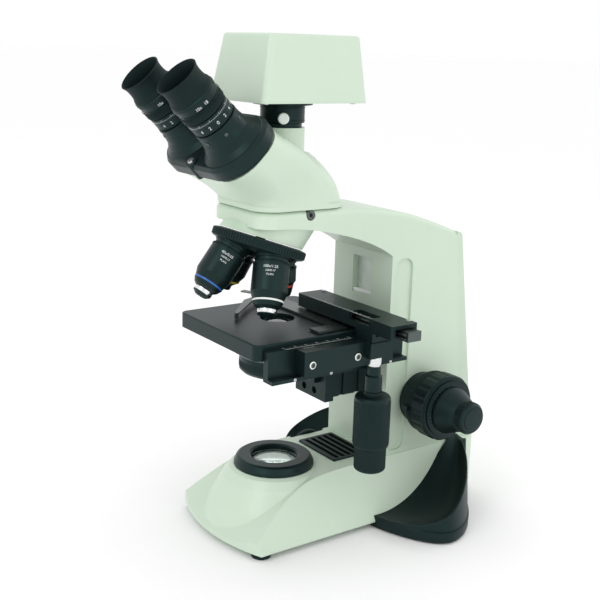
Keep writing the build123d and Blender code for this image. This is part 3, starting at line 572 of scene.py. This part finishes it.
# %% Eyepieces
JOINT_HEIGHT = 32.0       # the scale ring's joint stands this far up the tube
for word in ("left", "right"):
    body = "tube_" + word
    tube = at_joint(f"diopter_{word}_turn") @ Matrix.Translation((0, 0, -JOINT_HEIGHT * MM))
    foot, rim = (h / MM for h in span("eyecup_" + word, tube))
    outside = [(17.0, foot), (17.0, foot + 1.6), (16.0, foot + 3), (15.5, foot + 5.5), (15.3, foot + 8.5),
               (15.4, foot + 11.5), (15.9, foot + 14), (16.6, rim - 0.3)]
    inside = [(15.9, rim), (15.0, rim - 2), (14.0, foot + 11), (13.2, foot + 5), (13.3, foot + 4),
              (13.3, foot)]
    cup = lathe("eyecup_rubber_" + word, softened(outside, 2) + inside, finish["rubber"])
    cup = keep("eyecup_rubber_" + word, cup, body, tube)
    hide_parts("eyecup_" + word)
    lens = [(11.9, foot - 1), (11.9, foot + 1), (9, foot + 2.1), (5, foot + 2.8), (0, foot + 3.1),
            (0, foot - 1)]
    keep("eye_lens_" + word, lathe("eye_lens_" + word, lens, finish["glass"], closed=False), body,
         tube)
    ring = [(12.0, foot + 3), (12.6, foot + 3), (12.6, foot + 4.6), (11.2, foot + 4.6), (10.8, foot + 4),
            (10.8, foot + 3)]
    keep("lens_ring_" + word, lathe("lens_ring_" + word, ring, finish["black_paint"]), body,
         tube)
    band_low = span("eyepiece_" + word, tube)[0] / MM
    grip = Matrix.Translation((0, 0, (foot - 12.0) * MM))
    crown("eyepiece_grip_" + word, 84, 16.95, 0.5, 4.4, finish["black_plastic"], tube @ grip, body)
    for number, height in enumerate((foot - 8.6, foot - 2.0)):
        line = [(17.2, height), (17.75, height), (17.75, height + 0.35), (17.2, height + 0.35)]
        keep(f"eyepiece_line_{word}_{number}", lathe("line", line, finish["black_plastic"]), body,
             tube)
    low, high = (h / MM for h in span("diopter_ring_" + word, tube))
    scale = tube @ Matrix.Translation((0, 0, (high - 2.6) * MM))
    dial("diopter_scale_" + word, 72, 16.82, 0.28, 0.1, 0.9, ink, scale, "diopter_" + word,
         long=1.7, every=6)
    for figure, angle in zip("420246", (-64, -40, -16, 8, 32, 56)):
        spun = tube @ Matrix.Rotation(math.radians(angle), 4, "Z")
        turn = spun @ Matrix.Translation((0, 0, (low + 3.9) * MM))
        lettering(f"diopter_figure_{word}_{angle + 90}", figure, 3.6, ink, turn, "diopter_" + word,
                  radius=16.82)
    crown("diopter_grip_" + word, 110, 16.7, 0.22, 1.2, finish["black_plastic"],
          tube @ Matrix.Translation((0, 0, (low + 1.2) * MM)), "diopter_" + word)
    power = tube @ Matrix.Rotation(math.radians(-20), 4, "Z") @ Matrix.Translation((0, 0, (foot - 5.4) * MM))
    lettering("eyepiece_power_" + word, "10x   18", 3.2, ink, power, body, radius=17.5)
print("eyepieces from", round(band_low, 1), "to", round(rim, 1), "mm along the tube")

# %% [markdown]
# Both tube carriers hinge on one pin, so the distance between the eyes can be set. Small
# grub screws hold each tube in its boss, and a bolt near the front closes the joint.

# %% Tube carriers
pivot = at_joint("tube_left_swing")
for word, side in (("left", -1), ("right", 1)):
    tube = at_joint(f"diopter_{word}_turn") @ Matrix.Translation((0, 0, -JOINT_HEIGHT * MM))
    for number, angle in enumerate((-75, -20, 35)):
        across = Matrix.Rotation(math.radians(angle if side > 0 else 180 - angle), 4, "Z")
        out = across @ Matrix.Translation((17.3 * MM, 0, 20.5 * MM)) @ Matrix.Rotation(math.pi / 2, 4, "Y")
        screw = screw_head("tube_screw", 1.3, 0.5, finish["dark_steel"])
        keep(f"tube_screw_{word}_{number}", screw, "tube_" + word, tube @ out)
    seat = tube @ Matrix.Translation((0, 0, 26.3 * MM))
    collar = softened([(16.6, -2.2), (17.35, -2.0), (17.35, -0.2), (16.4, 0.2)], 1) + [(15, 0.2), (15, -2.2)]
    keep("tube_collar_" + word, lathe("tube_collar", collar, finish["black_paint"]), "tube_" + word,
         seat)
bolt = screw_head("hinge_bolt", 2.6, 1.6, finish["steel"])
keep("hinge_bolt", bolt, "head", pivot @ Matrix.Translation((0, 0, span("flange_plate", pivot)[1])))
print("hinge pin at", [round(c, 4) for c in pivot.translation])

# %% [markdown]
# The turret's rim is knurled so that fingers can turn it without touching the objectives.
# Each objective is a lacquered brass barrel. A coloured ring tells its power at a glance,
# its tip is plated, and its figures are engraved and filled with white.

# %% Turret and objectives
turret = at_joint("nosepiece_turn")
rim_radius = 36.7
rim_low, rim_high = 54.8, 61.4
crown("turret_grip", 92, rim_radius, 0.85, rim_high - rim_low - 1.2, finish["black_plastic"],
      turret @ Matrix.Translation((0, 0, (rim_low + rim_high) / 2 * MM)), "nosepiece")
THREAD = 6.0              # length of the screw thread above the shoulder
POWERS = {"4x": ("0.10", red_ring, 18.6, 12.1, 7.0), "10x": ("0.25", yellow_ring, 24.6, 12.1, 4.0),
          "40x": ("0.65", blue_ring, 32.6, 11.9, 2.6), "100x": ("1.25", ink, 32.6, 11.9, 2.2)}


def objective_place(node):
    apex = turret.translation
    points = [v.co for v in frame["nodes"][node].data.vertices]
    centre = sum(points, Vector()) / len(points)
    place = placed(apex, centre - apex)
    return place @ Matrix.Translation((0, 0, span(node, place)[0] + THREAD * MM))


for power, (aperture, colour, band, reach, lens_radius) in POWERS.items():
    node = "objective_" + power
    place = objective_place(node)
    length = span(node, place)[1] / MM
    stripe = [(reach - 1.2, band - 0.7), (reach + 0.05, band - 0.7), (reach + 0.05, band + 0.7),
              (reach - 1.2, band + 0.7)]
    keep(f"colour_ring_{power}", lathe("colour_ring", stripe, colour), "nosepiece", place)
    front = [(0, length - 0.9), (lens_radius * 0.7, length - 1.0), (lens_radius + 0.05, length - 1.3),
             (lens_radius + 0.05, length - 2.4), (0, length - 2.4)]
    keep(f"front_lens_{power}", lathe("front_lens", front, finish["glass"], 48, closed=False), "nosepiece",
         place)
    if power in ("40x", "100x"):
        sleeve = softened([(7.5, length - 5.6), (7.6, length - 2.6), (5.4, length - 0.9),
                           (lens_radius + 0.4, length - 0.02)], 2)
        sleeve += [(lens_radius + 0.1, length - 0.4), (7.2, length - 5.6)]
        keep(f"plated_tip_{power}", lathe("plated_tip", sleeve, chrome), "nosepiece", place)
    grip = place @ Matrix.Translation((0, 0, 4.3 * MM))
    crown(f"objective_grip_{power}", 90, 13.95, 0.3, 1.4, finish["black_paint"], grip, "nosepiece")
    outward = place.to_3x3().inverted() @ Vector((0.8, -0.6, 0))
    facing = math.atan2(outward.y, outward.x)
    flip = Matrix.Rotation(math.pi, 4, "X")
    heights = (8.4, 11.6, 14.6) if length > 40 else (8.0, 11.0)
    words = (f"{power}/{aperture}", "160/0.17", "PLAN")
    for row, (height, text) in enumerate(zip(heights, words)):
        spot = place @ Matrix.Rotation(facing, 4, "Z") @ Matrix.Translation((0, 0, height * MM)) @ flip
        lettering(f"engraving_{power}_{row}", text, 2.9 if row == 0 else 2.2, ink, spot, "nosepiece",
                  radius=14.05)
    print(node, "is", round(length, 1), "mm long")

# %% [markdown]
# The stage is milled flat and its edge carries a rule, so that a find on a slide can be
# come back to. The two hanging knobs are moulded grips with upright ribs, and small
# countersunk screws hold the rails. The screws are steel; two have a pale plastic washer.

# %% Stage
rail_low, rail_high = (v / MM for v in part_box("stage_rail"))
plate_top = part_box("stage_plate")[1].z / MM
carriage_low, carriage_high = (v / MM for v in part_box("y_carriage"))
guide_low, guide_high = (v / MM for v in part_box("x_guide"))
along_y = Matrix.Rotation(math.pi / 2, 4, "Z")


def on_top(x, y, z):
    return Matrix.Translation((x * MM, y * MM, z * MM))


def facing_right(x, y, z):
    """A place on a wall that looks towards +X, with its own Y upright."""
    stand = Matrix.Rotation(math.pi / 2, 4, "Z") @ Matrix.Rotation(math.pi / 2, 4, "X")
    return Matrix.Translation((x * MM, y * MM, z * MM)) @ stand


RULE_START = rail_low.y + 16
rule_place = on_top(rail_low.x + 5.9, RULE_START, rail_high.z) @ along_y
rule("stage_rule", 61, 1.0, 0.16, 1.6, 3.0, 5, ink, rule_place, "stage")
for i in range(7):
    lettering(f"stage_figure_{i}", str(10 * i), 1.9, ink,
              on_top(rail_low.x + 1.5, RULE_START + 10 * i, rail_high.z) @ along_y, "stage")
vernier_place = on_top(carriage_low.x + 4.6, carriage_low.y + 6, carriage_high.z - 4.8) @ along_y
rule("vernier", 11, 0.9, 0.14, 1.2, 2.2, 5, ink, vernier_place, "carriage")
for number, y in enumerate((carriage_low.y + 7.3, carriage_low.y + 49.3)):
    x = carriage_low.x + 14.0
    washer = softened([(2.1, 0), (2.9, 0.1), (2.9, 0.5), (2.1, 0.8)], 1)
    keep(f"pale_washer_{number}", lathe("pale_washer", washer, finish["white_plastic"], 48), "carriage",
         facing_right(x, y, 160.0))
    keep(f"washer_screw_{number}", screw_head("washer_screw", 1.9, 0.9, finish["dark_steel"]), "carriage",
         facing_right(x, y, 160.0))
for number, y in enumerate((rail_low.y + 20, rail_low.y + 53, rail_high.y - 17)):
    keep(f"rail_screw_{number}", screw_head("rail_screw", 1.3, 0.5, finish["steel"]), "stage",
         facing_right(rail_high.x, y, 149.0))
stem = at_joint("y_knob_turn")
stem.translation.z = 0
y_knob_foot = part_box("stage_y_knob")[0].z / MM
x_knob_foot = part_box("stage_x_knob")[0].z / MM
crown("y_knob_grip", 60, 13.8, 0.55, 35, finish["black_plastic"], stem @ on_top(0, 0, y_knob_foot + 19.6),
      "y_knob")
crown("x_knob_grip", 52, 12.0, 0.52, 15.6, finish["black_plastic"], stem @ on_top(0, 0, x_knob_foot + 9.4),
      "x_knob")
cap = softened([(11.6, 0), (10.4, -0.9), (3, -1.1), (0, -1.1)], 2) + [(0, 0.2), (11.4, 0.2)]
keep("x_knob_cap", lathe("x_knob_cap", cap, finish["black_plastic"], closed=False), "x_knob",
     stem @ on_top(0, 0, x_knob_foot + 0.2))
STEM_COLLAR = (151.0, 158.4)
collar = softened([(3.72, STEM_COLLAR[0]), (5.0, STEM_COLLAR[0]), (5.3, STEM_COLLAR[0] + 0.6),
                   (5.3, STEM_COLLAR[1] - 0.6), (5.0, STEM_COLLAR[1]), (3.72, STEM_COLLAR[1])], 1)
keep("stem_collar", lathe("stem_collar", collar, bright), "carriage", stem)
rule("guide_rule", 81, 1.0, 0.14, 1.3, 2.4, 5, ink, on_top(guide_low.x + 14, guide_low.y + 1.0, guide_high.z),
     "carriage", thick=0.1)
for number, x in enumerate((guide_low.x + 6, guide_high.x - 8)):
    keep(f"guide_screw_{number}", screw_head("guide_screw", 2.0, 0.8, finish["steel"]), "carriage",
         on_top(x, guide_high.y - 2.6, guide_high.z))
finger_pin = at_joint("finger_open")
finger_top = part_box("holder_finger")[1].z
finger_pin.translation.z = finger_top
keep("finger_screw", screw_head("finger_screw", 2.6, 1.1, finish["steel"]), "finger",
     finger_pin)
print("stage rule from y", round(RULE_START, 1), "mm; stage top at", round(plate_top, 1), "mm")

# %% [markdown]
# The iris ring under the condenser is read against marks on its rim, as the lens opening
# is matched to each objective. The condenser's rack knob has a ribbed grip.

# %% Condenser
iris = at_joint("iris_turn")
iris.translation.z = 0
iris_low, iris_high = (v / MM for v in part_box("iris_ring"))
dial("iris_scale", 120, 30.0, 0.35, 0.12, 1.6, ink, iris @ on_top(0, 0, iris_high.z - 5.2), "iris",
     long=2.8, every=5)
crown("iris_grip", 150, 29.85, 0.4, 5.2, finish["black_plastic"], iris @ on_top(0, 0, iris_high.z - 12.0),
      "iris")
tip = at_joint("iris_turn", turn=200)
tip.translation.z = 139 * MM
ball = softened([(0, 6.8), (2.4, 6.4), (2.7, 3), (2.4, 0.2), (1.5, 0)], 2) + [(1.5, 2), (0, 2)]
lever = Matrix.Translation((34.0 * MM, 0, 0)) @ Matrix.Rotation(math.pi / 2, 4, "Y")
keep("iris_lever_tip", lathe("iris_lever_tip", ball, finish["black_plastic"], 32, closed=False), "iris",
     tip @ lever)
knob_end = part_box("condenser_knob")[0].x / MM
knob = at_joint("condenser_turn")
knob.translation.x = (knob_end + 6) * MM
crown("condenser_grip", 40, 11.9, 0.75, 9.4, finish["black_plastic"], knob, "condenser_drive")
print("iris ring between", round(iris_low.z, 1), "and", round(iris_high.z, 1), "mm")

# %% [markdown]
# The focus knobs are moulded round a metal hub. The coarse knob has broad hollows for the
# fingers and an engraved ring; the fine knob ends in a ribbed stub with a pressed-in cap.
# The tension ring between knob and arm has two spanner flats and a ribbed grip.

# %% Focus knobs
focus = at_joint("fine_turn")
coarse_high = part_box("coarse_knobs")[1].x / MM
fine_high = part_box("fine_knobs")[1].x / MM
mirrored = {"right": Matrix.Identity(4), "left": Matrix.Rotation(math.pi, 4, "Y")}
for word, half_turn in mirrored.items():
    side = Matrix.Translation(focus.translation) @ half_turn @ Matrix.Translation(-focus.translation) @ focus
    groove = [(21.6, coarse_high - 0.9), (22.4, coarse_high - 0.75), (22.4, coarse_high - 0.6),
              (21.2, coarse_high - 0.4), (21.2, coarse_high - 0.9)]
    keep("coarse_ring_" + word, lathe("coarse_ring", groove, finish["black_plastic"]), "coarse",
         side)
    lip = softened([(23.8, coarse_high - 3.1), (26.2, coarse_high - 3.0), (26.4, coarse_high - 2.6),
                    (24, coarse_high - 2.4)], 1)
    keep("coarse_lip_" + word, lathe("coarse_lip", lip, finish["black_plastic"]), "coarse",
         side)
    stub = side @ Matrix.Translation((0, 0, (fine_high - 5.2) * MM))
    crown("fine_grip_" + word, 44, 12.8, 0.62, 6.2, finish["black_plastic"], stub, "fine")
    skirt = side @ Matrix.Translation((0, 0, (fine_high - 25.2) * MM))
    crown("fine_skirt_" + word, 90, 19.75, 0.42, 1.5, finish["black_plastic"], skirt, "fine")
    cap = softened([(9.6, 0), (9.4, 0.45), (8.4, 0.7), (0, 0.9)], 2) + [(0, -0.2), (9.6, -0.2)]
    keep("fine_cap_" + word, lathe("fine_cap", cap, finish["black_plastic"], closed=False), "fine",
         side @ Matrix.Translation((0, 0, fine_high * MM)))
    marks = side @ Matrix.Translation((0, 0, (coarse_high - 1.0) * MM))
    dial("coarse_marks_" + word, 40, 20.6, 0.3, 0.14, 0.9, ink, marks, "coarse")
tension = at_joint("tension_turn")
tension_low, tension_high = (v.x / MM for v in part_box("tension_ring"))
ring_middle = ((tension_low + tension_high) / 2 + 0.1) * MM - tension.translation.x
crown("tension_grip", 96, 26.35, 0.45, 4.6, finish["black_plastic"],
      tension @ Matrix.Translation((0, 0, ring_middle)), "tension")
print("knobs reach x", round(coarse_high, 1), "and", round(fine_high, 1), "mm")

# %% [markdown]
# The base holds the lamp. A turned collar frames the field lens, and beneath the lens a
# ground-glass disc spreads the light, which is why the lens looks milky rather than dark.
# The column has a window where a sill shows, and six screws hold the bottom plate.

# %% Base and column
lens_low, lens_high = (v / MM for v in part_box("field_lens"))
axis_y = (lens_low.y + lens_high.y) / 2
lamp = on_top(0, axis_y, 0)
milky = surface("ground_glass", (0.74, 0.82, 0.76), 0.5, drift=0.15, grain=1400, relief=0.2)
diffuser = softened([(0, 0), (17.5, 0), (18.6, -0.6)], 2) + [(18.6, -1.4), (0, -1.4)]
keep("diffuser", lathe("diffuser", diffuser, milky, closed=False), "stand",
     lamp @ on_top(0, 0, 49.6))
collar_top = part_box("field_lens_collar")[1].z / MM
for number, (radius, drop) in enumerate(((30.6, 2.2), (24.6, 0.35), (20.4, 0.6))):
    height = collar_top - drop
    bead = softened([(radius - 0.5, height - 0.6), (radius + 0.45, height - 0.35),
                     (radius + 0.2, height + 0.25), (radius - 0.5, height + 0.2)], 2)
    keep(f"collar_bead_{number}", lathe("collar_bead", bead, finish["black_paint"]), "stand",
         lamp)
vent_low, vent_high = (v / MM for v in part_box("vent_grille"))
# Painted shade: a near-black sheet just above the floor of the vent grille stands in for the shadow inside the
# vents.
mesh = slab("vent_shadow", Vector((vent_low.x + 2, vent_low.y + 2, vent_low.z + 0.2)) * MM,
            Vector((vent_high.x - 2, vent_high.y - 2, vent_low.z + 0.9)) * MM, painted_shade, bevel=0.1)
keep("vent_shadow", mesh, "stand")
COLUMN_FACE = axis_y + 85.0
WINDOW = (-12.5, 12.5, 185.0, 217.0, 7.0)
left, right, sill, lintel, depth = WINDOW
back = slab("window_back", Vector((left + 0.2, COLUMN_FACE + depth - 1.0, sill + 0.2)) * MM,
            Vector((right - 0.2, COLUMN_FACE + depth - 0.2, lintel - 0.2)) * MM, milky, bevel=0.2)
keep("window_back", back, "stand")
ledge = slab("window_sill", Vector((left + 0.3, COLUMN_FACE + 0.6, sill + 0.05)) * MM,
             Vector((right - 0.3, COLUMN_FACE + depth - 1.1, sill + 3.4)) * MM, finish["white_plastic"],
             bevel=0.6)
keep("window_sill", ledge, "stand")
wheel = at_joint("brightness_turn")
crown("wheel_grip", 64, 17.75, 0.5, 3.2, finish["black_plastic"], wheel, "brightness")
for number, (x, y) in enumerate(((-48, -30), (48, -30), (-48, 60), (48, 60), (-48, 150), (48, 150))):
    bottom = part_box("bottom_plate")[0].z
    flip = Matrix.Translation((x * MM, (y + axis_y) * MM, bottom)) @ Matrix.Rotation(math.pi, 4, "X")
    keep(f"plate_screw_{number}", screw_head("plate_screw", 2.6, 1.0, finish["steel"]), "stand",
         flip)
print("field lens axis at y", round(axis_y, 2), "mm")

# %% [markdown]
# The head turns in the arm on a ring seat and a small screw in a notch locks it. A beaded
# joint line runs under the head. The camera box is two mouldings that meet at a seam, and
# it clamps to the camera port with a white nylon screw.

# %% Head and camera
lock = at_joint("head_lock_turn")
lock_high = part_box("head_lock_screw")[1].x
# Painted shade: the lock screw's slot is not cut; a near-black bar on its head stands in for the shade inside the
# slot.
slot_shade_bar = slab("lock_slot_shade", Vector((-0.45, -2.6, -0.35)) * MM, Vector((0.45, 2.6, 0.12)) * MM, painted_shade,
                0.1)
keep("lock_slot_shade", slot_shade_bar, "head_lock",
     lock @ Matrix.Translation((0, 0, lock_high - lock.translation.x)) @ Matrix.Rotation(0.7, 4, "Z"))
clamp = at_joint("camera_lock_turn")
clamp_tip = span("adapter_screw", clamp)[1] / MM
crown("clamp_grip", 26, 3.95, 0.32, 4.4, finish["white_plastic"],
      clamp @ Matrix.Translation((0, 0, (clamp_tip - 3.1) * MM)), "camera_lock")
adapter_low, adapter_high = (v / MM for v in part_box("camera_adapter"))
port = on_top(0, axis_y, 0)
for number, (radius, height) in enumerate(((17.0, adapter_low.z + 5.4), (17.0, adapter_high.z - 4.6))):
    bead = softened([(radius - 0.4, height - 0.5), (radius + 0.35, height - 0.2),
                     (radius + 0.35, height + 0.2), (radius - 0.4, height + 0.5)], 1)
    keep(f"adapter_bead_{number}", lathe("adapter_bead", bead, finish["black_paint"]), "head",
         port)
floor_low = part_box("camera_floor")[0] / MM
for number, (x, y) in enumerate(((-31, 7), (31, 7), (-31, 86), (31, 86))):
    flip = on_top(x, floor_low.y + y, floor_low.z) @ Matrix.Rotation(math.pi, 4, "X")
    keep(f"camera_screw_{number}", screw_head("camera_screw", 2.2, 0.9, finish["steel"]), "camera",
         flip)

# %% [markdown]
# A pale sweep and large soft lamps show the shapes without hard shadows. The key light is
# high on the user's side, a wide fill opens up the black parts, and a rim light behind
# the column separates its edge from the background.

# %% Studio
paper = surface("studio_paper", (0.99, 0.99, 0.99), 0.8, drift=0.004, grain=60, relief=0.0, patch=0.02)
shape = bmesh.new()
bmesh.ops.create_grid(shape, x_segments=2, y_segments=2, size=90)
ground = bpy.data.objects.new("studio_floor", from_bmesh("studio_floor", shape, paper))
bpy.context.scene.collection.objects.link(ground)
ground.location.z = start_bounds[0].z - 0.0002

world = bpy.data.worlds.new("studio")
world.use_nodes = True
world.node_tree.nodes["Background"].inputs["Color"].default_value = (1.0, 1.0, 1.0, 1)
world.node_tree.nodes["Background"].inputs["Strength"].default_value = 1.0
bpy.context.scene.world = world
bpy.context.scene.view_settings.view_transform = "Standard"
centre = (start_bounds[0] + start_bounds[1]) / 2


def soft_light(name, place, size, power):
    lamp_data = bpy.data.lights.new(name, "AREA")
    lamp_data.shape = "DISK"
    lamp_data.size = size
    lamp_data.energy = power
    thing = bpy.data.objects.new(name, lamp_data)
    thing.location = place
    thing.rotation_euler = (centre - Vector(place)).to_track_quat("-Z", "Y").to_euler()
    bpy.context.scene.collection.objects.link(thing)


soft_light("key", (0.5, -1.4, 1.3), 0.9, 5)
soft_light("fill", (1.6, 0.2, 0.7), 1.2, 2)
soft_light("rim", (0.2, 1.5, 1.2), 0.8, 2)
print("floor at z", round(ground.location.z, 4), "m and three lamps")

# %% [markdown]
# The view is from the user's right, a little above the stage, with a long lens so that
# upright edges stay nearly upright. The turn, pitch and roll are written out, and the
# place is measured from the field lens, so a change of the base's length keeps the view.

# %% Camera
AZIMUTH, PITCH, ROLL = (math.radians(a) for a in (54.464, 14.1, 1.763))
eye_back = Vector((math.sin(AZIMUTH) * math.cos(PITCH), -math.cos(AZIMUTH) * math.cos(PITCH),
                   math.sin(PITCH)))
level_right = (-eye_back).cross(Vector((0, 0, 1))).normalized()
level_up = level_right.cross(-eye_back)
eye_right = level_right * math.cos(ROLL) + level_up * math.sin(ROLL)
eye_up = -level_right * math.sin(ROLL) + level_up * math.cos(ROLL)
camera = bpy.data.objects.new("camera", bpy.data.cameras.new("camera"))
camera.data.lens = 60
camera.data.sensor_width = 36
camera.matrix_world = (Matrix.Translation((0.6388, -0.4345 + axis_y * MM, 0.384))
                       @ Matrix((eye_right, eye_up, eye_back)).transposed().to_4x4())
bpy.context.scene.collection.objects.link(camera)
bpy.context.scene.camera = camera
print("lens", camera.data.lens, "mm, seen from", [round(c, 3) for c in camera.matrix_world.translation])
